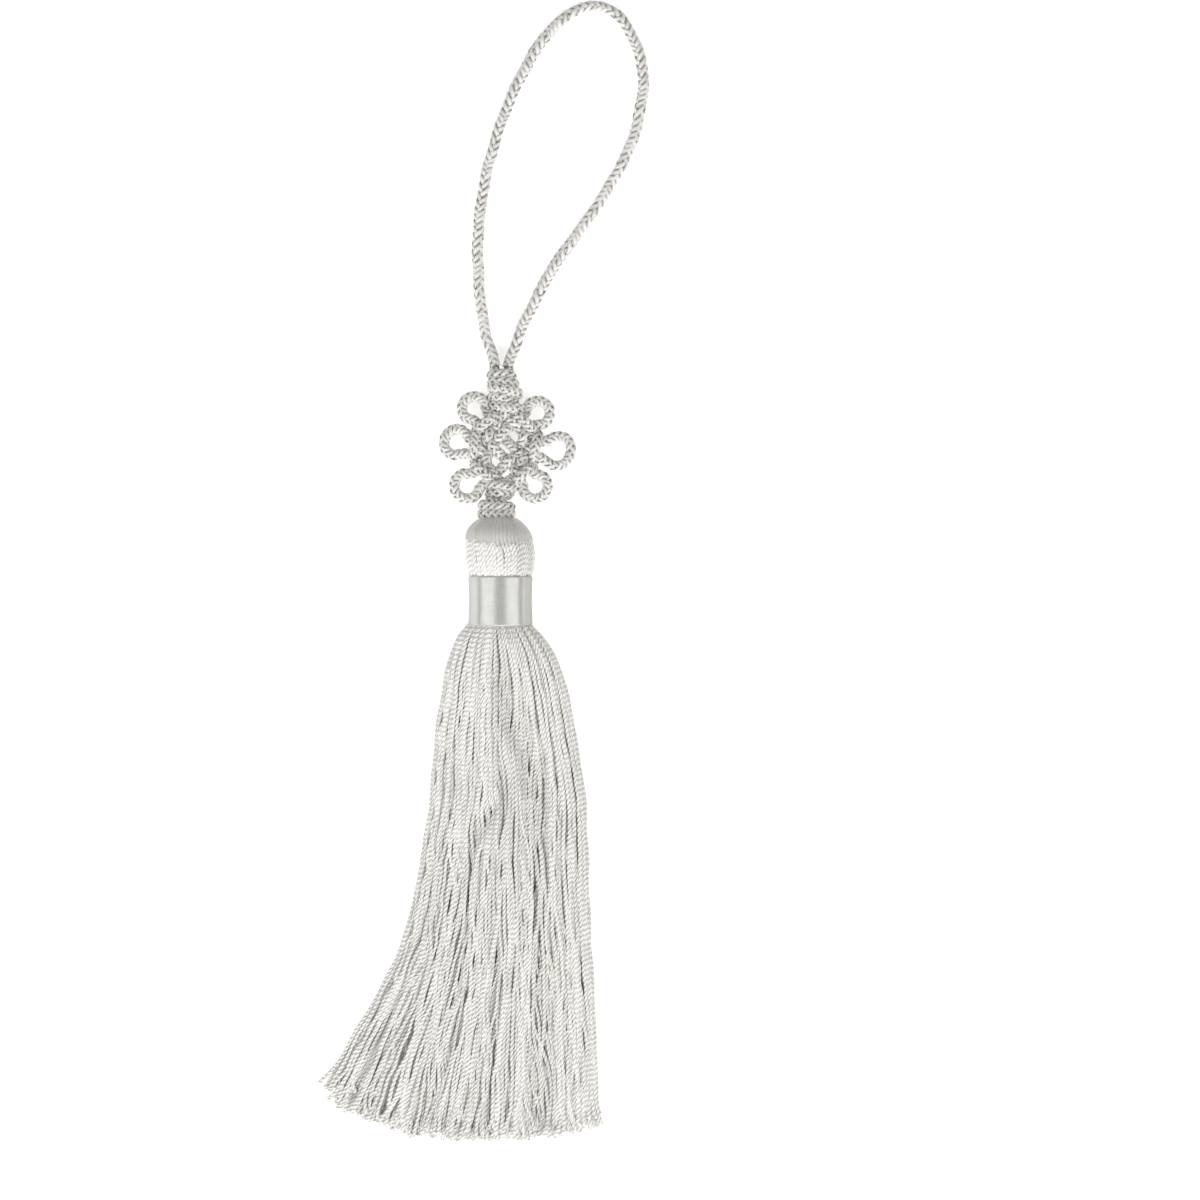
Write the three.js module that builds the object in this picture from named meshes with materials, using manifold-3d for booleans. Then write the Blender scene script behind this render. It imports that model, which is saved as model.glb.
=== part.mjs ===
import * as THREE from 'three';
import { mergeVertices } from 'three/addons/utils/BufferGeometryUtils.js';
import Module from 'manifold-3d';

// A tassel with a knotted hanging cord, lying on its back on a table.
// Millimetres, +Z up from the table, +Y from the fringe towards the hanging loop.
// The origin is on the table, under the middle of the tassel's head.

const wasm = await Module();
wasm.setup();

// Cord: one round braid makes the loop and all three knots.
const CORD_RADIUS = 1.1;
const KNOT_CORD_RADIUS = 1.05;
const PIECE_GAP = 0.3;

// Head, neck and band are round about one axis along Y.
const AXIS_HEIGHT = 7.0;
const ROUND_SIDES = 32;
const NECK_RADIUS = 5.9;
const HEAD_TOP = 8.5;
const HEAD_BOTTOM = -3.15;
const BAND_BOTTOM = -13.86;
const BAND_RADIUS = 6.75;
const BAND_WAIST = 6.55;

// Outline of the head, from its lip up to the middle of its top.
const HEAD_OUTLINE = [
  { radius: 6.85, y: HEAD_BOTTOM },
  { radius: 7.05, y: -2.7 },
  { radius: 7.1, y: -1.5 },
  { radius: 7.3, y: -0.2 },
  { radius: 7.35, y: 3.2 },
  { radius: 7.15, y: 4.8 },
  { radius: 6.8, y: 6.1 },
  { radius: 6.1, y: 7.3 },
  { radius: 5.1, y: 8.1 },
  { radius: 3.6, y: HEAD_TOP },
];

// Root of the skirt: an oval pad below the band, in which every strand starts.
const PAD_TOP = BAND_BOTTOM - PIECE_GAP;
const PAD_BOTTOM = -15.2;
const PAD_RADIUS = 8.0;
const PAD_FLATTENING = 0.84;

// Skirt: columns of strands side by side, with up to SKIRT_LAYERS strands in each.
const SKIRT_COLUMNS = 48;
const SKIRT_LAYERS = 5;
const COLUMN_OFFSETS = [0, 0.4, 0.8, 0.2, 0.6];
const LAYER_SHIFTS = [0, 0.4, -0.1, 0.3, -0.2];
const STRAND_GAP = 0.03;
const END_RAGGEDNESS = 0.35;

// Sections of the skirt, from its root to the last one above the hem. Each runs from left
// to right and from a bottom line, raised by lift at its sides, up to a crown that falls to
// the fraction edge of its height at the sides. Settled is how far the strands have come
// down into level layers, and width and height are those of one strand.
const SECTION_COLUMNS = [
  'y', 'left', 'right', 'base', 'lift', 'crown', 'edge', 'settled', 'width', 'height',
];
const SKIRT_SECTIONS = [
  [-14.7, -7.5, 7.5, 0.7, 6.3, 13.4, 0.53, 0, 0.42, 0.5],
  [-21.5, -10.8, 12.1, 0, 4.4, 13.8, 0.42, 0.1, 0.48, 0.55],
  [-40.0, -14.0, 16.6, 0, 1.0, 9.6, 0.27, 0.5, 0.52, 0.55],
  [-70.0, -18.0, 18.9, 0, 0, 7.4, 0.22, 1, 0.6, 0.6],
  [-89.0, -24.9, 20.0, 0, 0, 6.0, 0.24, 1, 0.68, 0.65],
].map((row) => Object.fromEntries(row.map((value, i) => [SECTION_COLUMNS[i], value])));
const HEM_SECTION = { base: 0, lift: 0, crown: 4.6, edge: 0.3, settled: 1, width: 0.75, height: 0.7 };

// Line of the cut ends, from left to right.
const HEM_LINE = [
  { x: -37.0, y: -109.6 },
  { x: -32.3, y: -115.2 },
  { x: -25.0, y: -118.2 },
  { x: -18.7, y: -120.2 },
  { x: -8.8, y: -121.0 },
  { x: 0.6, y: -121.0 },
  { x: 10.5, y: -120.5 },
  { x: 17.9, y: -118.7 },
  { x: 20.8, y: -117.4 },
];

// Flower knot: a square weave of two sets of four runs, standing on its corner, in a plane
// that slopes down from the head's height towards the table.
const KNOT_SLOPE = THREE.MathUtils.degToRad(8.5);
const FLOWER_PLACE = new THREE.Vector3(0.95, 23.3, 5.1);
const WEAVE_PITCH = 3.05;
const WEAVE_ANGLE = THREE.MathUtils.degToRad(55);
const WEAVE_LIFT = 0.75;
const RUN_PLACES = [-1.5, -0.5, 0.5, 1.5];
const RUN_END = 2;
const PETAL_TURNS = [140, 95, 48, 0, -48, -95, -140];
const PETALS = {
  upperLeft: { x: -6.5, y: 8.5, radius: 2.6 },
  upperRight: { x: 6.8, y: 7.5, radius: 2.6 },
  left: { x: -10.1, y: 1.3, radius: 2.8 },
  right: { x: 10.6, y: -0.5, radius: 3.15 },
  lowerLeft: { x: -7.9, y: -7.9, radius: 2.75 },
  lowerRight: { x: 6.3, y: -8.0, radius: 2.65 },
};
const ENTRY_POINTS = [{ x: 1.6, y: 9.4 }];
const EXIT_LEFT_POINTS = [{ x: -2.6, y: -9.75 }];
const EXIT_RIGHT_POINTS = [{ x: -0.4, y: -9.75 }];

// Short turns of cord over the roots of the petals, and one above and one below the square.
// Each has its middle at x and y, lies across the way outward (in degrees) and reaches so far
// to each side, in an arch given by parts of its reach and heights over the knot's plane.
const ROOT_TURNS = [
  { x: -6.3, y: 0.9, outward: 172, reach: 2.5 },
  { x: 6.4, y: 0.2, outward: -8, reach: 2.6 },
  { x: -3.9, y: 5.4, outward: 128, reach: 2.5 },
  { x: 4.1, y: 5.3, outward: 47, reach: 2.5 },
  { x: -4.3, y: -5.2, outward: 228, reach: 2.4 },
  { x: 3.8, y: -5.6, outward: -52, reach: 2.4 },
  { x: 0.6, y: 8.6, outward: 82, reach: 3.2 },
  { x: -0.9, y: -7.9, outward: 266, reach: 2.4 },
];
const TURN_ARCH = [
  { part: -1.15, height: -0.9 },
  { part: -1.0, height: 0.2 },
  { part: -0.6, height: 1.25 },
  { part: 0, height: 1.65 },
  { part: 0.6, height: 1.25 },
  { part: 1.0, height: 0.2 },
  { part: 1.15, height: -0.9 },
];

// Sleeve knots: each is wraps of cord about the paired cords that pass through. A wrap has its
// middle at x and y, its outer half width, and its slant in degrees.
const UPPER_WRAPS = [
  { x: -0.75, y: 15.5, halfWidth: 3.05, slant: -2 },
  { x: -0.4, y: 13.9, halfWidth: 3.4, slant: -7 },
  { x: 0.0, y: 12.25, halfWidth: 3.9, slant: -13 },
];
const UPPER_CORE = { x: -0.4, bottom: 11.0, top: 16.55, halfWidth: 2.5 };
const LOWER_KNOT_LENGTH = 3.65;
const LOWER_WRAPS = [
  { x: 0, y: LOWER_KNOT_LENGTH - KNOT_CORD_RADIUS, halfWidth: 3.9, slant: -4 },
  { x: 0, y: KNOT_CORD_RADIUS + 0.15, halfWidth: 4.0, slant: 2 },
];
const LOWER_CORE = { x: 0, bottom: 0, top: LOWER_KNOT_LENGTH, halfWidth: 3.2 };
const LOWER_KNOT_PLACE = new THREE.Vector3(-0.84, HEAD_TOP + PIECE_GAP, 6.9);
const WRAP_FLATTENING = 0.78;

// Route of the hanging loop's middle line, from the upper knot round and back to it.
const LOOP_ROUTE = [
  { x: -1.8, y: 40.5, z: 2.7 },
  { x: -2.3, y: 43.0, z: 1.9 },
  { x: -3.1, y: 46.0, z: 1.4 },
  { x: -3.9, y: 51.5, z: 1.2 },
  { x: -4.7, y: 59.6, z: 1.2 },
  { x: -4.8, y: 67.2, z: 1.2 },
  { x: -4.1, y: 75.0, z: 1.2 },
  { x: -2.7, y: 82.3, z: 1.2 },
  { x: 0.3, y: 92.4, z: 1.2 },
  { x: 4.8, y: 102.5, z: 1.2 },
  { x: 9.5, y: 110.0, z: 1.2 },
  { x: 15.2, y: 114.9, z: 1.2 },
  { x: 20.2, y: 116.2, z: 1.2 },
  { x: 24.6, y: 114.1, z: 1.2 },
  { x: 28.0, y: 108.8, z: 1.2 },
  { x: 29.8, y: 102.5, z: 1.2 },
  { x: 29.7, y: 97.4, z: 1.2 },
  { x: 27.4, y: 87.4, z: 1.2 },
  { x: 23.6, y: 79.8, z: 1.2 },
  { x: 18.8, y: 72.2, z: 1.2 },
  { x: 13.3, y: 64.7, z: 1.2 },
  { x: 9.9, y: 59.6, z: 1.2 },
  { x: 7.4, y: 54.6, z: 1.2 },
  { x: 4.8, y: 49.6, z: 1.3 },
  { x: 3.3, y: 45.5, z: 1.6 },
  { x: 2.2, y: 42.8, z: 2.0 },
  { x: 1.5, y: 40.5, z: 2.7 },
];

// Turns a closed geometry into a solid that can be joined and cut.
function solidOf(geometry) {
  const bare = geometry.clone();
  bare.deleteAttribute('normal');
  bare.deleteAttribute('uv');
  const merged = mergeVertices(bare, 1e-4);
  const corners = [];
  for (let i = 0; i < merged.index.count; i += 3) {
    const [a, b, c] = [0, 1, 2].map((k) => merged.index.getX(i + k));
    if (a !== b && b !== c && c !== a) corners.push(a, b, c);
  }
  return new wasm.Manifold(new wasm.Mesh({
    numProp: 3,
    vertProperties: new Float32Array(merged.attributes.position.array),
    triVerts: new Uint32Array(corners),
  }));
}

function geometryOf(solid) {
  const mesh = solid.getMesh();
  const geometry = new THREE.BufferGeometry();
  geometry.setAttribute('position', new THREE.BufferAttribute(mesh.vertProperties, 3));
  geometry.setIndex(new THREE.BufferAttribute(mesh.triVerts, 1));
  geometry.computeVertexNormals();
  return geometry;
}

function join(solids) {
  return solids.reduce((whole, piece) => whole.add(piece));
}

// A round tube of the given radius along a smooth curve through the points.
function tube(points, radius, sides, stepLength) {
  const path = new THREE.CatmullRomCurve3(points, false, 'centripetal');
  const corners = [];
  for (let i = 0; i < sides; i += 1) {
    const turn = (2 * Math.PI * (i + 0.5)) / sides;
    corners.push(new THREE.Vector2(radius * Math.cos(turn), radius * Math.sin(turn)));
  }
  return new THREE.ExtrudeGeometry(new THREE.Shape(corners), {
    steps: Math.round(path.getLength() / stepLength),
    extrudePath: path,
  });
}

// A closed skin over rings of four corners each, such as one strand of the skirt.
function strandGeometry(rings) {
  const points = rings.flat();
  const corners = [];
  const last = points.length - 4;
  for (let ring = 0; ring < rings.length - 1; ring += 1) {
    for (let k = 0; k < 4; k += 1) {
      const a = 4 * ring + k;
      const b = 4 * ring + ((k + 1) % 4);
      corners.push(a, a + 4, b, b, a + 4, b + 4);
    }
  }
  corners.push(0, 1, 2, 0, 2, 3, last, last + 2, last + 1, last, last + 3, last + 2);
  const geometry = new THREE.BufferGeometry().setFromPoints(points);
  geometry.setIndex(corners);
  return geometry;
}

// Bottom and top of a skirt section at the place across it that runs from -1 to 1.
function sectionBottom(section, across) {
  return section.base + section.lift * (1 - Math.sqrt(1 - across * across));
}

function sectionTop(section, across) {
  return section.crown * (section.edge + (1 - section.edge) * Math.sqrt(1 - across * across));
}

// The four corners of a strand where it passes through a section.
function strandRing(strand, section, x, y) {
  const bottom = sectionBottom(section, strand.across);
  const room = sectionTop(section, strand.across) - bottom - section.height;
  const rise = THREE.MathUtils.lerp(strand.looseRise, strand.levelRise, section.settled);
  const low = bottom + room * rise;
  const high = low + section.height;
  const half = section.width / 2;
  return [
    new THREE.Vector3(x - half, y, low),
    new THREE.Vector3(x - half, y, high),
    new THREE.Vector3(x + half, y, high),
    new THREE.Vector3(x + half, y, low),
  ];
}

// All strands of the skirt, each with its place across and its rise in a section.
function skirtStrands() {
  const strands = [];
  for (let column = 0; column < SKIRT_COLUMNS; column += 1) {
    const across = (2 * column + 1) / SKIRT_COLUMNS - 1;
    const count = Math.max(1, Math.round(SKIRT_LAYERS * Math.sqrt(1 - across * across)));
    const offset = COLUMN_OFFSETS[column % COLUMN_OFFSETS.length];
    for (let layer = 0; layer < count; layer += 1) {
      strands.push({
        across,
        shift: (LAYER_SHIFTS[layer] * 2) / SKIRT_COLUMNS,
        looseRise: (layer + offset) / count,
        levelRise: count > 1 ? layer / (count - 1) : 0,
        ragged: END_RAGGEDNESS * Math.sin(7.3 * column + 4.1 * layer),
      });
    }
  }
  return strands;
}

// The rings of a strand from the root to its cut end.
function strandRings(strand, hem) {
  const rings = SKIRT_SECTIONS.map((section) => {
    const place = (1 + strand.across + strand.shift * section.settled) / 2;
    const x = THREE.MathUtils.lerp(section.left, section.right, place);
    return strandRing(strand, section, x, section.y);
  });
  const place = (1 + strand.across + strand.shift) / 2;
  const end = hem.getPointAt(THREE.MathUtils.clamp(place, 0, 1));
  rings.push(strandRing(strand, HEM_SECTION, end.x, end.y + strand.ragged));
  return rings;
}

// Whether two strands would touch, looked at in steps from ring to ring.
function strandsTouch(first, second) {
  for (let ring = 1; ring < first.length; ring += 1) {
    for (let part = 0; part <= 1; part += 0.25) {
      const [low1, low2, high1, high2] = [
        first[ring - 1][0].clone().lerp(first[ring][0], part),
        second[ring - 1][0].clone().lerp(second[ring][0], part),
        first[ring - 1][2].clone().lerp(first[ring][2], part),
        second[ring - 1][2].clone().lerp(second[ring][2], part),
      ];
      const apartAcross = Math.max(low1.x - high2.x, low2.x - high1.x);
      const apartInHeight = Math.max(low1.z - high2.z, low2.z - high1.z);
      if (Math.max(apartAcross, apartInHeight) < STRAND_GAP) return true;
    }
  }
  return false;
}

// The skirt as separate strands. One that would touch a strand already laid is left out.
function skirtSolids() {
  const hem = new THREE.CatmullRomCurve3(flatPoints(HEM_LINE));
  const laid = [];
  for (const strand of skirtStrands()) {
    const rings = strandRings(strand, hem);
    if (!laid.some((other) => strandsTouch(rings, other))) laid.push(rings);
  }
  return laid.map((rings) => solidOf(strandGeometry(rings)));
}

// Head and neck turned about the axis, with a flat on the table, the root pad and the strands.
function skeinGeometry() {
  const outline = [
    new THREE.Vector2(0, PAD_BOTTOM + 0.1),
    new THREE.Vector2(NECK_RADIUS, PAD_BOTTOM + 0.1),
    new THREE.Vector2(NECK_RADIUS, HEAD_BOTTOM),
    ...HEAD_OUTLINE.map((point) => new THREE.Vector2(point.radius, point.y)),
    new THREE.Vector2(0, HEAD_TOP),
  ];
  const turned = new THREE.LatheGeometry(outline, ROUND_SIDES).translate(0, 0, AXIS_HEIGHT);
  const padHeight = PAD_TOP - PAD_BOTTOM;
  const pad = new THREE.CylinderGeometry(NECK_RADIUS + 1.2, PAD_RADIUS, padHeight, ROUND_SIDES)
    .scale(1, 1, PAD_FLATTENING)
    .translate(0, PAD_BOTTOM + padHeight / 2, AXIS_HEIGHT);
  const table = new THREE.BoxGeometry(60, 60, 10).translate(0, 0, -5);
  const body = solidOf(turned).subtract(solidOf(table)).add(solidOf(pad));
  return geometryOf(join([body, ...skirtSolids()]));
}

// Band of fine winding round the neck, waisted a little, with its bore clear of the neck.
function bandGeometry() {
  const bore = NECK_RADIUS + PIECE_GAP;
  const top = HEAD_BOTTOM - PIECE_GAP;
  const outline = [
    [bore, BAND_BOTTOM],
    [BAND_RADIUS - 0.1, BAND_BOTTOM],
    [BAND_RADIUS, BAND_BOTTOM + 0.4],
    [BAND_WAIST, (2 * BAND_BOTTOM + top) / 3],
    [BAND_WAIST, (BAND_BOTTOM + 2 * top) / 3],
    [BAND_RADIUS, top - 0.3],
    [BAND_RADIUS - 0.1, top],
    [bore, top],
    [bore, BAND_BOTTOM],
  ].map(([radius, y]) => new THREE.Vector2(radius, y));
  return new THREE.LatheGeometry(outline, ROUND_SIDES).translate(0, 0, AXIS_HEIGHT);
}

// A point of the weave: a is the way up to the right and b the way up to the left, in pitches.
function weavePoint(a, b, lift) {
  return new THREE.Vector3(
    WEAVE_PITCH * Math.cos(WEAVE_ANGLE) * (a - b),
    WEAVE_PITCH * Math.sin(WEAVE_ANGLE) * (a + b),
    lift,
  );
}

// A run up to the right, at place b, from its lower left end to its upper right end. It
// passes over the runs of the other set where row and column are both odd or both even.
function risingRun(row) {
  const b = RUN_PLACES[row];
  const crossings = RUN_PLACES.map((a, column) => weavePoint(a, b, WEAVE_LIFT * (-1) ** (row + column)));
  return [weavePoint(-RUN_END, b, 0), ...crossings, weavePoint(RUN_END, b, 0)];
}

// A run up to the left, at place a, from its lower right end to its upper left end.
function leaningRun(column) {
  const a = RUN_PLACES[column];
  const crossings = RUN_PLACES.map((b, row) => weavePoint(a, b, -WEAVE_LIFT * (-1) ** (row + column)));
  return [weavePoint(a, -RUN_END, 0), ...crossings, weavePoint(a, RUN_END, 0)];
}

// The round of a petal, from the end of one run to the end of the next.
function petalRound(petal, start, end) {
  const root = start.clone().lerp(end, 0.5);
  const outward = Math.atan2(petal.y - root.y, petal.x - root.x);
  const across = Math.cos(outward) * (start.y - root.y) - Math.sin(outward) * (start.x - root.x);
  return PETAL_TURNS.map((degrees) => {
    const turn = outward + Math.sign(across) * THREE.MathUtils.degToRad(degrees);
    return new THREE.Vector3(
      petal.x + petal.radius * Math.cos(turn),
      petal.y + petal.radius * Math.sin(turn),
      0,
    );
  });
}

function flatPoints(points, mirror = 1) {
  return points.map((point) => new THREE.Vector3(mirror * point.x, point.y, 0));
}

function reversed(points) {
  return [...points].reverse();
}

// A cord down the first run, round a corner petal and out along the second run, in two
// lengths that lap in the petal, because the two runs cross.
function cornerPasses(entry, down, petal, out, exit) {
  const round = petalRound(petal, down[down.length - 1], out[0]);
  return [[...entry, ...down, ...round], [...round.slice(-3), ...out, ...exit]];
}

// A ring of cord along two runs side by side and round the petals at both their ends, in two
// lengths that lap in the weave.
function ringPasses(first, farPetal, second, nearPetal) {
  const far = petalRound(farPetal, first[first.length - 1], second[second.length - 1]);
  const near = petalRound(nearPetal, second[0], first[0]);
  return [
    [...first.slice(1), ...far, ...reversed(second.slice(1))],
    [...reversed(second.slice(0, 3)), ...near, ...first.slice(0, 3)],
  ];
}

// The cord's passes through the flower knot.
function flowerPasses() {
  const rising = [0, 1, 2, 3].map(risingRun);
  const leaning = [0, 1, 2, 3].map(leaningRun);
  const entryRight = reversed(flatPoints(ENTRY_POINTS));
  const entryLeft = reversed(flatPoints(ENTRY_POINTS, -1));
  const exitLeft = flatPoints(EXIT_LEFT_POINTS);
  const exitRight = flatPoints(EXIT_RIGHT_POINTS);
  return [
    ...cornerPasses(entryRight, reversed(rising[3]), PETALS.left, reversed(leaning[0]), exitRight),
    ...cornerPasses(entryLeft, reversed(leaning[3]), PETALS.right, reversed(rising[0]), exitLeft),
    ...ringPasses(rising[2], PETALS.upperRight, rising[1], PETALS.lowerLeft),
    ...ringPasses(leaning[2], PETALS.upperLeft, leaning[1], PETALS.lowerRight),
  ];
}

// The short turns of cord over the roots of the petals.
function rootTurns() {
  return ROOT_TURNS.map((turn) => {
    const across = THREE.MathUtils.degToRad(turn.outward + 90);
    return TURN_ARCH.map(({ part, height }) => new THREE.Vector3(
      turn.x + turn.reach * part * Math.cos(across),
      turn.y + turn.reach * part * Math.sin(across),
      height,
    ));
  });
}

// Every second pass is a little thinner, so that no two skins lie in each other where they lap.
function flowerGeometry() {
  const cords = [...flowerPasses(), ...rootTurns()].map((points, index) => {
    const radius = KNOT_CORD_RADIUS - 0.03 * (index % 2);
    return solidOf(tube(points, radius, 6, 1.6));
  });
  return geometryOf(join(cords));
}

// Wraps of cord about an oval core, standing along Y.
function sleeveGeometry(wraps, core) {
  const rings = wraps.map((wrap) => solidOf(
    new THREE.TorusGeometry(wrap.halfWidth - KNOT_CORD_RADIUS, KNOT_CORD_RADIUS, 7, 18)
      .rotateX(Math.PI / 2)
      .scale(1, 1, WRAP_FLATTENING)
      .rotateZ(THREE.MathUtils.degToRad(wrap.slant))
      .translate(wrap.x, wrap.y, 0),
  ));
  const middle = new THREE.CylinderGeometry(core.halfWidth, core.halfWidth, core.top - core.bottom, 20)
    .scale(1, 1, WRAP_FLATTENING)
    .translate(core.x, (core.top + core.bottom) / 2, 0);
  return geometryOf(join([solidOf(middle), ...rings]));
}

function loopGeometry() {
  const points = LOOP_ROUTE.map((point) => new THREE.Vector3(point.x, point.y, point.z));
  return tube(points, CORD_RADIUS, 8, 2 * 2 * CORD_RADIUS);
}

const cordMaterial = new THREE.MeshStandardMaterial({ color: 0xdad7d1, roughness: 0.6, metalness: 0 });
const yarnMaterial = new THREE.MeshStandardMaterial({ color: 0xe6e4de, roughness: 0.5, metalness: 0 });
const bandMaterial = new THREE.MeshStandardMaterial({ color: 0xe2e2dd, roughness: 0.32, metalness: 0 });

function piece(name, geometry, material) {
  const mesh = new THREE.Mesh(geometry, material);
  mesh.name = name;
  return mesh;
}

const skein = piece('tassel_skein', skeinGeometry(), yarnMaterial);
const band = piece('band', bandGeometry(), bandMaterial);
const lowerKnot = piece('lower_knot', sleeveGeometry(LOWER_WRAPS, LOWER_CORE), cordMaterial);
lowerKnot.position.copy(LOWER_KNOT_PLACE);

const slopingKnots = new THREE.Group();
slopingKnots.position.copy(FLOWER_PLACE);
slopingKnots.rotation.x = -KNOT_SLOPE;
slopingKnots.add(piece('flower_knot', flowerGeometry(), cordMaterial));
slopingKnots.add(piece('upper_knot', sleeveGeometry(UPPER_WRAPS, UPPER_CORE), cordMaterial));

const loop = piece('hanging_loop', loopGeometry(), cordMaterial);

const tassel = new THREE.Group();
tassel.add(skein, band, lowerKnot, slopingKnots, loop);

export default tassel;
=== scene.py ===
# %% [markdown]
# # Norigae tassel: from plain solids to silk
# The CAD part fixes where each piece lies. It is in metres, +Z is up from the table, and +Y runs from
# the fringe to the hanging loop. Below, each plain solid gets its real surface: cord gets its braid,
# the head and the skirt get their threads, and the band gets its winding.

# %% Load the part
import math

import bpy
import numpy as np
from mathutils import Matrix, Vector


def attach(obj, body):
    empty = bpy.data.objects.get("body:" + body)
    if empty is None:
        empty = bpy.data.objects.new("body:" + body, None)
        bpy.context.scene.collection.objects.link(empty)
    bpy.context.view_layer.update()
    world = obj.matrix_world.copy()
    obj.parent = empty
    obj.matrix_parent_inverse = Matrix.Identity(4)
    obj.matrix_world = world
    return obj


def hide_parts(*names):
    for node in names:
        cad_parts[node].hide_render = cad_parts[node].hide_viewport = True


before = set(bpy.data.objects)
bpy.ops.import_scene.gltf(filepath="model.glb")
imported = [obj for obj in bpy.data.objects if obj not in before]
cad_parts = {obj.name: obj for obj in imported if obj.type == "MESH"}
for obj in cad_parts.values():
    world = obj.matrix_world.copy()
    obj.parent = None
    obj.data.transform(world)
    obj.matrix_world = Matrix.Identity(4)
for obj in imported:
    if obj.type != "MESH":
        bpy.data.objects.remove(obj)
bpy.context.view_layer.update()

MM = 0.001
print("CAD nodes:", sorted(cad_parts))

# %% [markdown]
# The tassel was photographed lying flat, from straight above. A long lens a good way off keeps the
# thick head and the thin loop at one scale, and the frame takes in 252 mm.

# %% Camera
bpy.ops.object.camera_add(location=(0.0208, -0.0084, 1.4), rotation=(0, 0, 0))
camera = bpy.context.object
camera.data.sensor_width = 36
camera.data.lens = 200
bpy.context.scene.camera = camera
bpy.context.scene.view_settings.view_transform = "Standard"
print("frame width in mm:", round(36 / 200 * 1400, 1))

# %% [markdown]
# ## Lines and tubes
# Everything here is long and thin, so all of it is made by one method: a smooth line is laid through
# a few given points, and rings of corners are strung along it. The line is the same kind of
# curve that the CAD part uses, so the looks lie where the solids lie.

# %% Smooth lines
def smooth_line(points, step):
    """Evenly spaced points, about step apart, on a smooth curve through the given ones."""
    p = np.array(points, float)
    p = np.vstack([2 * p[0] - p[1], p, 2 * p[-1] - p[-2]])
    fine = []
    for a, b, c, d in zip(p, p[1:], p[2:], p[3:]):
        gaps = np.linalg.norm(np.diff([a, b, c, d], axis=0), axis=1) ** 0.5
        t0, t1, t2, t3 = np.concatenate([[0], np.cumsum(gaps)])
        t = np.linspace(t1, t2, 24, endpoint=False)[:, None]
        ab = (a * (t1 - t) + b * (t - t0)) / (t1 - t0)
        bc = (b * (t2 - t) + c * (t - t1)) / (t2 - t1)
        cd = (c * (t3 - t) + d * (t - t2)) / (t3 - t2)
        abc = (ab * (t2 - t) + bc * (t - t0)) / (t2 - t0)
        bcd = (bc * (t3 - t) + cd * (t - t1)) / (t3 - t1)
        fine.append((abc * (t2 - t) + bcd * (t - t1)) / (t2 - t1))
    fine = np.vstack(fine + [p[-2][None]])
    run = np.concatenate([[0], np.cumsum(np.linalg.norm(np.diff(fine, axis=0), axis=1))])
    along = np.linspace(0, run[-1], max(2, round(run[-1] / step) + 1))
    return np.stack([np.interp(along, run, fine[:, k]) for k in range(3)], axis=1), along


def unit(vectors):
    return vectors / np.linalg.norm(vectors, axis=1)[:, None]


def frames_along(line):
    """The line's direction, and two directions square to it that don't spin about it."""
    ahead = unit(np.gradient(line, axis=0))
    side = np.zeros_like(line)
    first = np.cross(ahead[0], (0, 0, 1))
    if np.linalg.norm(first) < 0.1:
        first = np.cross(ahead[0], (0, 1, 0))
    side[0] = first / np.linalg.norm(first)
    for i in range(1, len(line)):
        leaning = side[i - 1] - ahead[i] * (side[i - 1] @ ahead[i])
        side[i] = leaning / np.linalg.norm(leaning)
    return ahead, side, np.cross(ahead, side)


# %% Tubes to meshes
def tube_mesh(name, tubes, material, node):
    """One object from many tubes, each (rings, along, shade) in mm, standing for a CAD node."""
    points, corners, sizes, uvs, shades = [], [], [], [], []
    count = 0
    for rings, along, shade in tubes:
        steps, sides, _ = rings.shape
        points.append(rings.reshape(-1, 3) * MM)
        shades.append(np.full(steps * sides, shade))
        i, j = np.meshgrid(np.arange(steps - 1), np.arange(sides), indexing="ij")
        a = count + i * sides + j
        b = count + i * sides + (j + 1) % sides
        corners.append(np.stack([a, b, b + sides, a + sides], axis=-1).ravel())
        u0, u1, v0, v1 = j / sides, (j + 1) / sides, along[i], along[i + 1]
        uvs.append(np.stack([u0, v0, u1, v0, u1, v1, u0, v1], axis=-1).ravel())
        sizes.append(np.full((steps - 1) * sides, 4))
        last = count + (steps - 1) * sides
        for ring, v in ((count + np.arange(sides)[::-1], along[0]), (last + np.arange(sides), along[-1])):
            corners.append(ring)
            uvs.append(np.tile([0.25, v], sides))
            sizes.append([sides])
        count += steps * sides
    corners, sizes = np.concatenate(corners), np.concatenate(sizes)
    mesh = bpy.data.meshes.new(name)
    mesh.vertices.add(count)
    mesh.vertices.foreach_set("co", np.concatenate(points).ravel())
    mesh.loops.add(len(corners))
    mesh.loops.foreach_set("vertex_index", corners)
    mesh.polygons.add(len(sizes))
    mesh.polygons.foreach_set("loop_start", np.concatenate([[0], np.cumsum(sizes)[:-1]]))
    mesh.polygons.foreach_set("use_smooth", np.ones(len(sizes), bool))
    mesh.uv_layers.new(name="UVMap").data.foreach_set("uv", np.concatenate(uvs))
    mesh.attributes.new("shade", "FLOAT", "POINT").data.foreach_set("value", np.concatenate(shades))
    mesh.update(calc_edges=True)
    mesh.validate()
    mesh.materials.append(material)
    thing = bpy.data.objects.new(name, mesh)
    bpy.context.collection.objects.link(thing)
    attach(thing, "root")
    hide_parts(node)
    print(f"{name}: {len(tubes)} tubes, {int(np.sum(sizes - 2))} triangles")
    return thing
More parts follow.
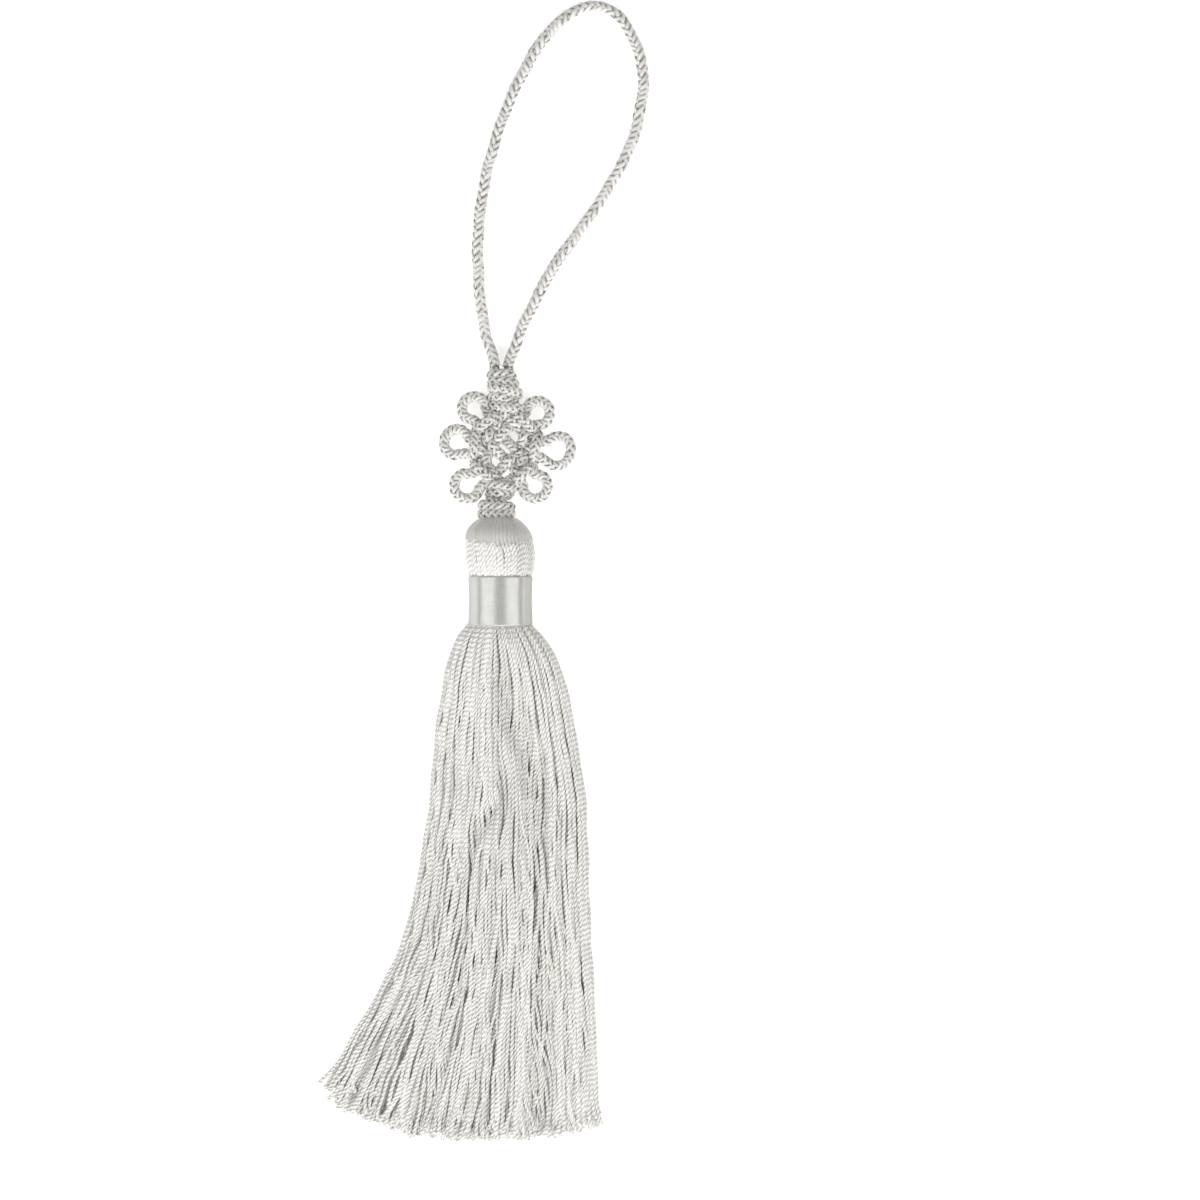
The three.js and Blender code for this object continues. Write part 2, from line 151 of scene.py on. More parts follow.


# %% [markdown]
# ## Silk materials
# All the threads are white silk or a silk-like yarn. What makes them look so is soft gloss along each
# strand, fine filaments that run with it, and shade in the grooves between the plies, which is painted
# into the colour as painted shade. A tube's own UV map says how far round it (u) and how many
# millimetres along it (v) a point is, so filaments and plies follow the thread wherever it goes.

# %% Small helpers for node materials
def node(material, kind, inputs=(), **settings):
    """Adds a node. Each input is a value, or the output of another node."""
    new = material.node_tree.nodes.new(kind)
    for key, value in settings.items():
        setattr(new, key, value)
    for key, value in dict(inputs).items():
        if isinstance(value, bpy.types.NodeSocket):
            material.node_tree.links.new(value, new.inputs[key])
        else:
            new.inputs[key].default_value = value
    return new


def maths(material, operation, first, second=0.0):
    return node(material, "ShaderNodeMath", {0: first, 1: second}, operation=operation).outputs[0]


def silk(name, roughness, sheen):
    """A silk material, with its shader and the u, v and shade of the thread."""
    material = bpy.data.materials.new(name)
    material.use_nodes = True
    shader = material.node_tree.nodes["Principled BSDF"]
    shader.inputs["Roughness"].default_value = roughness
    shader.inputs["Sheen Weight"].default_value = sheen
    shader.inputs["Sheen Roughness"].default_value = 0.4
    uv = node(material, "ShaderNodeUVMap", uv_map="UVMap").outputs[0]
    split = node(material, "ShaderNodeSeparateXYZ", {0: uv})
    shade = node(material, "ShaderNodeAttribute", attribute_name="shade").outputs["Fac"]
    return material, shader, split.outputs[0], split.outputs[1], shade


def finish_silk(material, shader, colour_from, dark, light, relief, depth):
    """Colours the shader from dark to light, and raises its surface by relief."""
    mix = node(material, "ShaderNodeMix", {0: colour_from, 6: (*dark, 1), 7: (*light, 1)}, data_type="RGBA")
    bump = node(material, "ShaderNodeBump", {"Height": relief, "Distance": depth, "Strength": 1.0})
    material.node_tree.links.new(mix.outputs[2], shader.inputs["Base Color"])
    material.node_tree.links.new(bump.outputs[0], shader.inputs["Normal"])


# %% [markdown]
# The cord's strands are flat bundles of loose filaments. Noise that is stretched along the strand
# makes the filaments, and each strand is a little lighter or darker than the next. A strand is
# painted brightest along its back (a quarter of the way round) and painted into shade at its edges:
# a painted highlight and painted shade.

# %% Cord silk
CORD_DARK = (0.12, 0.114, 0.104)
CORD_LIGHT = (0.90, 0.88, 0.84)
CORD_FILAMENT_DEPTH = 0.00016

cord_silk, shader, u, v, shade = silk("cord_silk", 0.42, 0.25)
flow = node(cord_silk, "ShaderNodeCombineXYZ", {
    0: maths(cord_silk, "MULTIPLY", u, 11.0),
    1: maths(cord_silk, "MULTIPLY", v, 0.55),
    2: maths(cord_silk, "MULTIPLY", shade, 40.0),
}).outputs[0]
filaments = node(cord_silk, "ShaderNodeTexNoise", {"Vector": flow, "Scale": 1.6, "Detail": 3.0}).outputs[0]
# Painted highlight along each strand's back, and painted shade at its edges.
round_about = maths(cord_silk, "MULTIPLY", u, 2 * math.pi)
painted_back_highlight = maths(cord_silk, "MAXIMUM", maths(cord_silk, "SINE", round_about), 0.0)
tone_and_painted_shade = maths(cord_silk, "ADD", maths(cord_silk, "MULTIPLY", filaments, 0.7),
             maths(cord_silk, "MULTIPLY", shade, 0.25))
tone_and_painted_shade = maths(cord_silk, "ADD", maths(cord_silk, "MULTIPLY", painted_back_highlight, 0.6),
             maths(cord_silk, "SUBTRACT", tone_and_painted_shade, 0.12))
finish_silk(cord_silk, shader, tone_and_painted_shade, CORD_DARK, CORD_LIGHT, filaments, CORD_FILAMENT_DEPTH)
print("cord silk, nodes:", len(cord_silk.node_tree.nodes))

# %% [markdown]
# The yarn has two plies twisted round each other, which gives a slanting groove every millimetre or
# so. The groove is where the cosine of the way round, less the twist so far, passes nought. The
# grooves are painted darker than the plies, as painted shade.

# %% Yarn
YARN_PITCH = 1.05
YARN_DARK = (0.52, 0.505, 0.47)
YARN_LIGHT = (0.99, 0.975, 0.935)
YARN_PLY_DEPTH = 0.00018


def yarn_relief_and_painted_shade(material, u, v, shade):
    """The relief of the two plies with their filaments, and a tone with painted shade in the grooves."""
    turned = maths(material, "SUBTRACT", maths(material, "MULTIPLY", u, 2 * math.pi),
                   maths(material, "MULTIPLY", v, math.pi / YARN_PITCH))
    plies = maths(material, "ABSOLUTE", maths(material, "COSINE", turned))
    flow = node(material, "ShaderNodeCombineXYZ", {
        0: maths(material, "MULTIPLY", turned, 2.2),
        1: maths(material, "MULTIPLY", v, 0.7),
        2: maths(material, "MULTIPLY", shade, 60.0),
    }).outputs[0]
    filaments = node(material, "ShaderNodeTexNoise", {"Vector": flow, "Scale": 1.3, "Detail": 3.0}).outputs[0]
    relief = maths(material, "ADD", plies, maths(material, "MULTIPLY", filaments, 0.35))
    # Painted shade: the colour follows the relief, so the grooves between the plies are painted darker.
    tone_and_painted_shade = maths(material, "ADD", maths(material, "MULTIPLY", relief, 0.62),
                 maths(material, "MULTIPLY", shade, 0.3))
    return relief, tone_and_painted_shade


yarn, shader, u, v, shade = silk("plied_yarn", 0.45, 0.3)
relief, tone_and_painted_shade = yarn_relief_and_painted_shade(yarn, u, v, shade)
finish_silk(yarn, shader, tone_and_painted_shade, YARN_DARK, YARN_LIGHT, relief, YARN_PLY_DEPTH)
print("yarn, nodes:", len(yarn.node_tree.nodes))

# %% [markdown]
# On the dome of the head the same yarn is pulled tight under the knot. It is pressed flat and smooth
# there, and it is painted a duller grey as painted shade, with an uneven edge where the twist starts
# to show again. On the right the threads lie a little looser, and the shade painted in their grooves is darker.

# %% Pressed yarn of the head
DOME_PAINTED_SHADE = (0.55, 0.53, 0.50)
HEAD_DARK = (0.45, 0.44, 0.415)
HEAD_LIGHT = (0.96, 0.945, 0.91)
HEAD_PLY_DEPTH = 0.00014

head_yarn, shader, u, v, shade = silk("head_yarn", 0.45, 0.3)
relief, tone_and_painted_shade = yarn_relief_and_painted_shade(head_yarn, u, v, shade)
place = node(head_yarn, "ShaderNodeTexCoord").outputs["Object"]
uneven = node(head_yarn, "ShaderNodeTexNoise", {"Vector": place, "Scale": 700.0, "Detail": 2.0}).outputs[0]
axes = node(head_yarn, "ShaderNodeSeparateXYZ", {0: place})
height = maths(head_yarn, "ADD", axes.outputs[1], maths(head_yarn, "MULTIPLY", uneven, 0.003))
sag = maths(head_yarn, "MULTIPLY", maths(head_yarn, "MULTIPLY", axes.outputs[0], axes.outputs[0]), 24.0)
# This mask flattens the relief of the pressed yarn, and further down it also paints the dome grey as painted
# shade.
pressed_and_painted_shade = node(head_yarn, "ShaderNodeMapRange", {
    "Value": maths(head_yarn, "SUBTRACT", height, sag), "From Min": 0.0042, "From Max": 0.0049}).outputs[0]
# Painted shade: the tone is painted lighter in the middle and on the left, and a little darker on the right, so
# the grooves there read darker.
painted_shade_to_the_right = node(head_yarn, "ShaderNodeMapRange", {
    "Value": axes.outputs[0], "From Min": 0.0005, "From Max": 0.005, "To Min": -0.3, "To Max": 0.05}).outputs[0]
finish_silk(head_yarn, shader, maths(head_yarn, "SUBTRACT", tone_and_painted_shade, painted_shade_to_the_right), HEAD_DARK, HEAD_LIGHT,
            maths(head_yarn, "MULTIPLY", relief, maths(head_yarn, "SUBTRACT", 1.0, pressed_and_painted_shade)), HEAD_PLY_DEPTH)
# Painted shade: where the mask is on, the dome's colour is mixed towards grey.
lit = shader.inputs["Base Color"].links[0].from_socket
painted_shade_mix = node(head_yarn, "ShaderNodeMix", {0: maths(head_yarn, "MULTIPLY", pressed_and_painted_shade, 0.85), 6: lit,
                                           7: (*DOME_PAINTED_SHADE, 1)}, data_type="RGBA")
head_yarn.node_tree.links.new(painted_shade_mix.outputs[2], shader.inputs["Base Color"])
print("head yarn, nodes:", len(head_yarn.node_tree.nodes))

# %% [markdown]
# ## The braided cord
# The cord is a round braid of eight strands. Four wind one way and four the other, and each passes
# over two and under two. All the strands of one hand come to the surface along the same two lines of
# the cord, half a turn apart, so the cord shows columns of slanting stitches that meet as a row of Vs.

# %% Braid
CORD_RADIUS = 1.1
KNOT_CORD_RADIUS = 1.05
LOOP_STITCH = 1.5
KNOT_STITCH = 1.15
TABLE_GAP = 0.02  # no ring dips lower than this
# Parts of the cord's radius: where a strand runs, how far it rises over the others, its half
# thickness, and the core that closes the gaps between the strands.
STRAND_TRACK, STRAND_RISE, STRAND_THICKNESS, CORE_REACH = 0.79, 0.14, 0.24, 0.62


def waves(along, rng, count, short, long, size):
    """A sum of a few sine waves of random height, length and start."""
    return sum(
        rng.normal(0, size) * np.sin(2 * math.pi * along / rng.uniform(short, long) + rng.uniform(0, 6.3))
        for _ in range(count))


def ring_of(centre, ahead, outward, half_width, half_height, sides):
    """Oval rings round each point of a strand, their flat side facing outward."""
    up = unit(outward - ahead * np.sum(outward * ahead, axis=1)[:, None])
    across = np.cross(up, ahead)
    turn = 2 * math.pi * np.arange(sides) / sides
    wide = np.asarray(half_width).reshape(-1, 1, 1) * np.cos(turn)[None, :, None]
    high = np.asarray(half_height).reshape(-1, 1, 1) * np.sin(turn)[None, :, None]
    return centre[:, None] + wide * across[:, None] + high * up[:, None]


def braid(points, radius, stitch, closed=False, step=0.26, spin=0.0, roll=0.0, seed=1):
    """The strands of a cord along the points, and the cord's own line. Roll is in turns per mm."""
    rng = np.random.default_rng(seed)
    line, along = smooth_line(points, step)
    if not closed:
        ends = np.clip(np.minimum(along, along[-1] - along) / 4, 0, 1)
        line += ends[:, None] * np.stack([waves(along, rng, 2, 5, 17, 0.06) for _ in range(3)], axis=1)
    ahead, side, up = frames_along(line)
    stitch = along[-1] / round(along[-1] / stitch) if closed else stitch
    wind = math.pi / (2 * stitch)
    uneven = waves(along, rng, 3, 2.5, 14, 0.16)
    tubes = []
    for hand in (1, -1):
        for k in range(4):
            slack = waves(along, rng, 2, 2, 6, 0.09)
            turn = hand * (wind * along + uneven) + k * math.pi / 2 + (0 if hand == 1 else math.pi / 4)
            turn = turn + slack + spin + 2 * math.pi * roll * along
            rise = np.cos(2 * (wind * along + uneven) + math.pi * k + (0 if hand == 1 else math.pi / 2))
            outward = np.cos(turn)[:, None] * side + np.sin(turn)[:, None] * up
            track = STRAND_TRACK + STRAND_RISE * rise + waves(along, rng, 2, 1.5, 5, 0.02)
            centre = line + (radius * track)[:, None] * outward
            forward = unit(np.gradient(centre, axis=0))
            half_width = (0.34 * stitch + 0.03) * (1 + waves(along, rng, 2, 1.5, 6, 0.08))
            rings = ring_of(centre, forward, outward, half_width, STRAND_THICKNESS * radius, 6)
            rings[..., 2] = np.maximum(rings[..., 2], TABLE_GAP)
            tubes.append((rings, along, rng.random()))
    core = line[:, None] + CORE_REACH * radius * (
        np.cos(np.arange(6) * math.pi / 3)[None, :, None] * side[:, None]
        + np.sin(np.arange(6) * math.pi / 3)[None, :, None] * up[:, None]
    )
    # The core's low shade value paints it darker than most strands, as painted shade in the gaps between them.
    tubes.append((core[::4], along[::4], 0.2))
    return tubes, line


# %% [markdown]
# ## The hanging loop
# One length of cord leaves the upper knot, runs round and comes back to it. It lies flat on the table
# and rises only over its last centimetre, to the knot. Its points follow the CAD route. The cord has
# rolled a little on its way, so the columns of stitches wind slowly round it.

# %% Loop
LOOP_ROUTE = [
    (-1.2, 40.5, 2.7), (-1.8, 43.0, 1.9), (-2.8, 46.0, 1.4), (-3.9, 51.5, 1.2), (-4.7, 59.6, 1.2),
    (-4.8, 67.2, 1.2), (-4.1, 75.0, 1.2), (-2.7, 82.3, 1.2), (0.3, 92.4, 1.2), (4.8, 102.5, 1.2),
    (9.5, 110.0, 1.2), (15.2, 114.9, 1.2), (20.2, 116.2, 1.2), (24.6, 114.1, 1.2), (28.0, 108.8, 1.2),
    (29.8, 102.5, 1.2), (29.7, 97.4, 1.2), (27.4, 87.4, 1.2), (23.6, 79.8, 1.2), (18.8, 72.2, 1.2),
    (13.3, 64.7, 1.2), (9.9, 59.6, 1.2), (7.4, 54.6, 1.2), (4.8, 49.6, 1.3), (3.3, 45.5, 1.6),
    (2.2, 42.8, 2.0), (1.5, 40.5, 2.7),
]
strands, loop_line = braid(LOOP_ROUTE, CORD_RADIUS, LOOP_STITCH, spin=0.6, roll=0.006)
loop = tube_mesh("loop_braid", strands, cord_silk, "hanging_loop")

# %% [markdown]
# ## The flower knot
# The same cord is woven into a square of four runs by four, standing on its corner, and leaves the
# square in six petals. Two lengths come down from the upper knot, cross the square, go round a side
# petal and leave at the bottom. Two rings fill in the rest. Each run passes over and under in turn.
# The whole knot slopes down from the head's height towards the table, so it is laid out in a plane of
# its own first. A few small holes show in the weave, and the cords are drawn back from them there.

# %% The knot's own plane
KNOT_SLOPE = math.radians(8.5)
FLOWER_PLACE = np.array([0.95, 23.3, 5.1])
WEAVE_HOLES = [  # x, y, how strongly the cords are drawn back
    (1.75, 2.5, 0.58), (0, 0, 0.72), (-1.75, -2.5, 0.58), (0, -5, 0.54),
]
HOLE_SPREAD = 5.5  # square of the distance at which the pull has faded to a third


def on_slope(points):
    """Draws cords back from the small holes, and moves them from the knot's own plane to its place."""
    x, y, z = np.array(points, float).T
    for hole_x, hole_y, strength in WEAVE_HOLES:
        right, up = x - hole_x, y - hole_y
        pull = strength * np.exp(-(right ** 2 + up ** 2) / HOLE_SPREAD)
        x, y = x + right * pull, y + up * pull
    c, s = math.cos(KNOT_SLOPE), math.sin(KNOT_SLOPE)
    return np.stack([x, c * y + s * z, c * z - s * y], axis=1) + FLOWER_PLACE


print("small holes in the weave:", len(WEAVE_HOLES))

# %% [markdown]
# Four runs rise to the right and four lean to the left. Where two cross, one is lifted and the other
# lowered, and the next crossing is the other way round. That is all that a plain weave needs.

# %% Runs of the weave
WEAVE_PITCH = 3.05
WEAVE_ANGLE = math.radians(55)
WEAVE_LIFT = 0.75
RUN_PLACES = (-1.5, -0.5, 0.5, 1.5)


def weave_point(a, b, lift):
    """The place of step a along the rising runs and step b along the leaning ones."""
    x = WEAVE_PITCH * math.cos(WEAVE_ANGLE) * (a - b)
    return (x, WEAVE_PITCH * math.sin(WEAVE_ANGLE) * (a + b), lift)


def rising_run(row):
    b = RUN_PLACES[row]
    over = [weave_point(a, b, WEAVE_LIFT * (-1) ** (row + column)) for column, a in enumerate(RUN_PLACES)]
    return [weave_point(-2, b, 0), *over, weave_point(2, b, 0)]


def leaning_run(column):
    a = RUN_PLACES[column]
    over = [weave_point(a, b, -WEAVE_LIFT * (-1) ** (row + column)) for row, b in enumerate(RUN_PLACES)]
    return [weave_point(a, -2, 0), *over, weave_point(a, 2, 0)]


rising = [rising_run(row) for row in range(4)]
leaning = [leaning_run(column) for column in range(4)]
print("points on each run:", len(rising[0]))

# %% [markdown]
# A petal is a round bend that joins the ends of two runs. It is bent open by hand, so each has its
# own place and radius, and the bend starts on the side where its run comes out of the square.

# %% Petals
PETAL_TURNS = (140, 95, 48, 0, -48, -95, -140)
PETALS = {  # x, y, radius
    "upper left": (-6.5, 8.5, 2.6), "upper right": (6.8, 7.5, 2.6),
    "left": (-10.1, 1.3, 2.8), "right": (10.6, -0.5, 3.15),
    "lower left": (-7.9, -7.9, 2.75), "lower right": (6.3, -8.0, 2.65),
}


def petal_round(petal, start, end):
    """The round of a petal, from the end of one run to the end of the next."""
    x, y, radius = PETALS[petal]
    root = ((start[0] + end[0]) / 2, (start[1] + end[1]) / 2)
    outward = math.atan2(y - root[1], x - root[0])
    across = math.cos(outward) * (start[1] - root[1]) - math.sin(outward) * (start[0] - root[0])
    turns = [outward + math.copysign(math.radians(turn), turn * across) for turn in PETAL_TURNS]
    return [(x + radius * math.cos(turn), y + radius * math.sin(turn), 0) for turn in turns]


def through_pass(entry, down, petal, out, exit_point):
    return [entry, *down, *petal_round(petal, down[-1], out[0]), *out, exit_point]


def ring_pass(first, far_petal, second, near_petal):
    far = petal_round(far_petal, first[-1], second[-1])
    near = petal_round(near_petal, second[0], first[0])
    return [*first[2:], *far, *second[::-1], *near, *first[:3]]


passes = [
    (through_pass((1.6, 9.4, 0), rising[3][::-1], "left", leaning[0][::-1], (-0.4, -9.75, 0)), False),
    (through_pass((-1.6, 9.4, 0), leaning[3][::-1], "right", rising[0][::-1], (-2.6, -9.75, 0)), False),
    (ring_pass(rising[2], "upper right", rising[1], "lower left"), True),
    (ring_pass(leaning[2], "upper left", leaning[1], "lower right"), True),
]
strands = []
for seed, (points, closed) in enumerate(passes):
    strands += braid(on_slope(points), KNOT_CORD_RADIUS, KNOT_STITCH, closed, spin=0.9 * seed, seed=seed + 2)[0]
print("tubes in the weave and petals:", len(strands))

# %% [markdown]
# At the edge of the square the cord turns back over the two legs of each petal, and once more above
# and below. These short turns make the knot's body broad, and close off the roots of the petals.

# %% Turns over the petal roots
ROOT_TURNS = [  # x, y, the way out in degrees, half length
    (-6.3, 0.9, 172, 2.5), (6.4, 0.2, -8, 2.6), (-3.9, 5.4, 128, 2.5), (4.1, 5.3, 47, 2.5),
    (-4.3, -5.2, 228, 2.4), (3.8, -5.6, -52, 2.4), (0.6, 8.6, 82, 3.2), (-0.9, -7.9, 266, 2.4),
    (-0.5, 10.5, 80, 2.1), (-1.2, -9.5, 268, 1.7),
]


TURN_ARCH = ((-1.15, -0.9), (-1, 0.2), (-0.6, 1.25), (0, 1.65), (0.6, 1.25), (1, 0.2), (1.15, -0.9))


def turn_points(x, y, outward, reach):
    """An arch of cord over the two legs of a petal."""
    across = math.radians(outward + 90)
    return [(x + reach * d * math.cos(across), y + reach * d * math.sin(across), z) for d, z in TURN_ARCH]


for number, turn in enumerate(ROOT_TURNS):
    ride = on_slope(turn_points(*turn))
    strands += braid(ride, KNOT_CORD_RADIUS, KNOT_STITCH, spin=0.8 * number, seed=number + 10)[0]
flower = tube_mesh("flower_braid", strands, cord_silk, "flower_knot")

# %% [markdown]
# ## The sleeve knots
# Above the flower the cord is wrapped three times round the two cords that pass through, and below
# it twice. Each wrap is a closed oval of braid, a little slanted, as the real ones are.

# %% Wraps
WRAP_FLATNESS = 0.78


def wrap_points(x, y, half_width, slant):
    """An oval of cord round the knot's own up-and-down line, closed on itself."""
    reach = half_width - KNOT_CORD_RADIUS
    lean = math.radians(slant)
    turns = [math.radians(15 * k - 90) for k in range(25)]
    return [
        (x + reach * math.cos(t) * math.cos(lean), y + reach * math.cos(t) * math.sin(lean),
         WRAP_FLATNESS * reach * math.sin(t))
        for t in turns
    ]


def sleeve(name, wraps, cords, place, cad_node, seed):
    """The wraps of a sleeve knot and the cords that pass through it, as one piece."""
    strands = []
    for number, wrap in enumerate(wraps):
        ring = place(wrap_points(*wrap))
        strands += braid(ring, KNOT_CORD_RADIUS, KNOT_STITCH, True, spin=0.7 * number, seed=seed + number)[0]
    for number, (start, end) in enumerate(cords):
        strands += braid(place([start, end]), 0.95 * KNOT_CORD_RADIUS, KNOT_STITCH, spin=number,
                         seed=seed + 5 + number)[0]
    thing = tube_mesh(name, strands, cord_silk, cad_node)


def on_head(points):
    return np.array(points, float) + (-0.84, 8.8, 6.9)


sleeve(
    "upper_wraps", [(-0.75, 15.5, 3.05, -2), (-0.4, 13.9, 3.4, -7), (0.0, 12.25, 3.9, -13)],
    [((-1.4, 9.9, 0), (-2.3, 17.1, 0)), ((1.2, 9.9, 0), (0.7, 17.1, 0))],
    on_slope, "upper_knot", 20)
sleeve(
    "lower_wraps", [(0, 2.4, 3.9, -4), (0, 0.8, 4.0, 2)],
    [((-1.2, -0.2, 0), (-1.2, 4.2, 0)), ((1.2, -0.2, 0), (1.2, 4.2, 0))],
    on_head, "lower_knot", 40)

# %% [markdown]
# ## The head
# The yarn is folded over the cord's end, so threads run up one side of the head and down the other.
# Under them lies a plain core, made as by hand: a cylinder for the neck, its top face drawn out to
# the head's width, and then up again and again, each time smaller, to a dome.

# %% Head core
AXIS_HEIGHT = 7.0

bpy.ops.mesh.primitive_cylinder_add(
    vertices=48, radius=5.9 * MM, depth=11.6 * MM, location=(0, -9.0 * MM, AXIS_HEIGHT * MM),
    rotation=(-math.pi / 2, 0, 0))
core = bpy.context.object
core.name = "head_core"
bpy.ops.object.transform_apply(location=True, rotation=True, scale=True)


def select_where(thing, test, kind="FACE"):
    """In edit mode, leaves only the faces or edges selected whose middle passes the test."""
    bpy.ops.mesh.select_mode(type=kind)
    bpy.ops.mesh.select_all(action="DESELECT")
    bpy.ops.object.mode_set(mode="OBJECT")
    mesh = thing.data
    for item in mesh.polygons if kind == "FACE" else mesh.edges:
        middle = sum((mesh.vertices[i].co for i in item.vertices), Vector()) / len(item.vertices)
        ends = [mesh.vertices[i].co for i in item.vertices]
        item.select = bool(test(middle / MM, [end / MM for end in ends]))
    bpy.ops.object.mode_set(mode="EDIT")


bpy.ops.object.mode_set(mode="EDIT")
select_where(core, lambda middle, ends: middle.y > -3.3 and all(end.y > -3.3 for end in ends))
bpy.ops.mesh.extrude_region_move(TRANSFORM_OT_translate={"value": (0, 0.3 * MM, 0)})
bpy.ops.transform.resize(value=(1.06, 1, 1.06), center_override=(0, -2.9 * MM, AXIS_HEIGHT * MM))
rim = -2.9
for rise, narrowing in ((5.8, 1.0), (1.7, 0.91), (1.3, 0.86), (1.1, 0.80), (0.9, 0.68)):
    rim += rise
    bpy.ops.mesh.extrude_region_move(TRANSFORM_OT_translate={"value": (0, rise * MM, 0)})
    bpy.ops.transform.resize(value=(narrowing, 1, narrowing), center_override=(0, rim * MM, AXIS_HEIGHT * MM))
bpy.ops.object.mode_set(mode="OBJECT")
bpy.ops.object.shade_smooth_by_angle(angle=math.radians(50))

# The core only shows between two threads, so it is painted a dull, uneven grey, as painted shade.
core_painted_shade = bpy.data.materials.new("core_painted_shade")
core_painted_shade.use_nodes = True
shader = core_painted_shade.node_tree.nodes["Principled BSDF"]
shader.inputs["Roughness"].default_value = 0.8
place = node(core_painted_shade, "ShaderNodeTexCoord").outputs["Object"]
fibres = node(core_painted_shade, "ShaderNodeTexNoise", {"Vector": place, "Scale": 900.0, "Detail": 3.0}).outputs[0]
finish_silk(core_painted_shade, shader, fibres, (0.40, 0.39, 0.37), (0.56, 0.55, 0.52), fibres, 0.0001)
core.data.materials.append(core_painted_shade)
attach(core, "root")
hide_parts("tassel_skein")
print("head core faces:", len(core.data.polygons))

# %% [markdown]
# The threads of the head start inside the band, swell out over its edge, run up the side and close
# over the dome under the lower knot. Each is an oval that turns as it goes, which is how two plies
# look. Near the middle the threads part in a short, curved fold.

# %% Head threads
HEAD_THREADS = 58
THREAD_RADIUS = 0.45
HEAD_PROFILE = [
    (5.6, -3.9), (6.1, -3.1), (6.5, -2.35), (6.74, -1.3), (6.92, -0.2), (6.95, 1.6), (6.93, 3.2),
    (6.85, 4.8), (6.45, 6.1), (5.5, 7.2), (4.5, 7.95), (3.5, 8.35), (2.4, 8.5),
]
RIGHT_SHOULDER = [1, 1, 1, 0.985, 0.975, 0.965, 0.94, 0.89, 0.83, 0.80, 0.78, 0.76, 0.75]
FOLD_TURN = 5.0
FOLD_HEIGHTS = (-1.5, -0.2, 1.6, 3.2, 4.8)
FOLD_BENDS = (1.0, 1.0, 0.0, -5.5, -8.0)
FOLD_DEPTHS = (0, 0.8, 1, 0.9, 0)
DRIFT_SHARES = (1, 1, 1, 1, 1, 1, 1, 0.5, 0.3, 0.1, 0, 0, 0)
PRESSED_FROM = 3.6


def plied_thread(points, radius, step, shade, sides=6, swell=0.16, end_flare=0.0, press_from=None):
    """A twisted thread: oval rings that turn once in two pitches. Above press_from it is pressed flat."""
    line, along = smooth_line(points, step)
    ahead, side, up = frames_along(line)
    turn = 2 * math.pi * np.arange(sides) / sides
    twist = math.pi * along / YARN_PITCH
    press = np.zeros((len(line), 1))
    if press_from is not None:
        press = np.clip((line[:, 1:2] - press_from) / 1.5, 0, 1)
    reach = radius * (1 + 0.3 * press) * (1 + swell * (1 - press) * np.cos(2 * (turn[None] - twist[:, None])))
    reach *= 1 + end_flare * np.clip(1 - (along[-1] - along) / 2.0, 0, 1)[:, None]
    rings = line[:, None] + reach[..., None] * (
        np.cos(turn)[None, :, None] * side[:, None] + np.sin(turn)[None, :, None] * up[:, None])
    rings[..., 2] = np.maximum(rings[..., 2], TABLE_GAP)
    return rings, along, shade


tints = np.random.default_rng(11)
threads = []
for k in range(HEAD_THREADS):
    turn = 360 * (k + 0.5) / HEAD_THREADS - 180
    drift = tints.normal(0, 0.35, len(HEAD_PROFILE)) * DRIFT_SHARES
    lift = tints.normal(0, 0.04)
    away = turn - FOLD_TURN
    points = []
    for place, (radius, y) in enumerate(HEAD_PROFILE):
        fold = np.interp(y, FOLD_HEIGHTS, FOLD_DEPTHS) * math.exp(-(away / 6) ** 2)
        bend = np.interp(y, FOLD_HEIGHTS, FOLD_BENDS) * math.exp(-(away / 40) ** 2)
        drifting = drift[place] * (0 < place < 11)
        angle = math.radians(turn + bend + drifting + math.copysign(1.3 * fold, away))
        rightward = max(0.0, math.sin(angle))
        reach = (radius + lift - 0.3 * fold) * (1 + rightward * (RIGHT_SHOULDER[place] - 1))
        height = AXIS_HEIGHT + reach * math.cos(angle)
        points.append((reach * math.sin(angle), y + 0.25 * tints.normal() * (place < 3), max(height, 0.4)))
    threads.append(plied_thread(points, THREAD_RADIUS, 0.3, tints.random(), swell=0.12,
                                press_from=PRESSED_FROM))
head = tube_mesh("head_threads", threads, head_yarn, "tassel_skein")

# %% [markdown]
# ## The band
# A fine silk thread is wound tightly round the neck, turn beside turn, and pulls in a little at the
# middle. It is made as by hand: a cylinder, its ends inset and bridged into a bore, cut across where
# it draws in, and its rims rounded.

# %% Band
BAND_TOP = -3.45
BAND_BOTTOM = -13.86
BAND_RADIUS = 6.75
BAND_CUTS = ((-5.2, 0.985), (-8.6, 0.972), (-12.1, 0.985))  # y, and how much the band draws in there

bpy.ops.mesh.primitive_cylinder_add(
    vertices=96, radius=BAND_RADIUS * MM, depth=(BAND_TOP - BAND_BOTTOM) * MM,
    location=(0, (BAND_TOP + BAND_BOTTOM) / 2 * MM, AXIS_HEIGHT * MM), rotation=(-math.pi / 2, 0, 0))
band = bpy.context.object
band.name = "band_winding"
bpy.ops.object.transform_apply(location=True, rotation=True, scale=True)
bpy.ops.object.mode_set(mode="EDIT")
select_where(band, lambda middle, ends: len(ends) > 4)
bpy.ops.mesh.inset(thickness=0.5 * MM, use_individual=True)
bpy.ops.mesh.bridge_edge_loops()
for cut, _ in BAND_CUTS:
    bpy.ops.mesh.select_all(action="SELECT")
    bpy.ops.mesh.bisect(plane_co=(0, cut * MM, 0), plane_no=(0, 1, 0))


def outer_ring(y):
    """A test for the edges of the band's outside that lie at one height along it."""
    return lambda middle, ends: all(
        abs(end.y - y) < 0.05 and math.hypot(end.x, end.z - AXIS_HEIGHT) > 6.5 for end in ends)


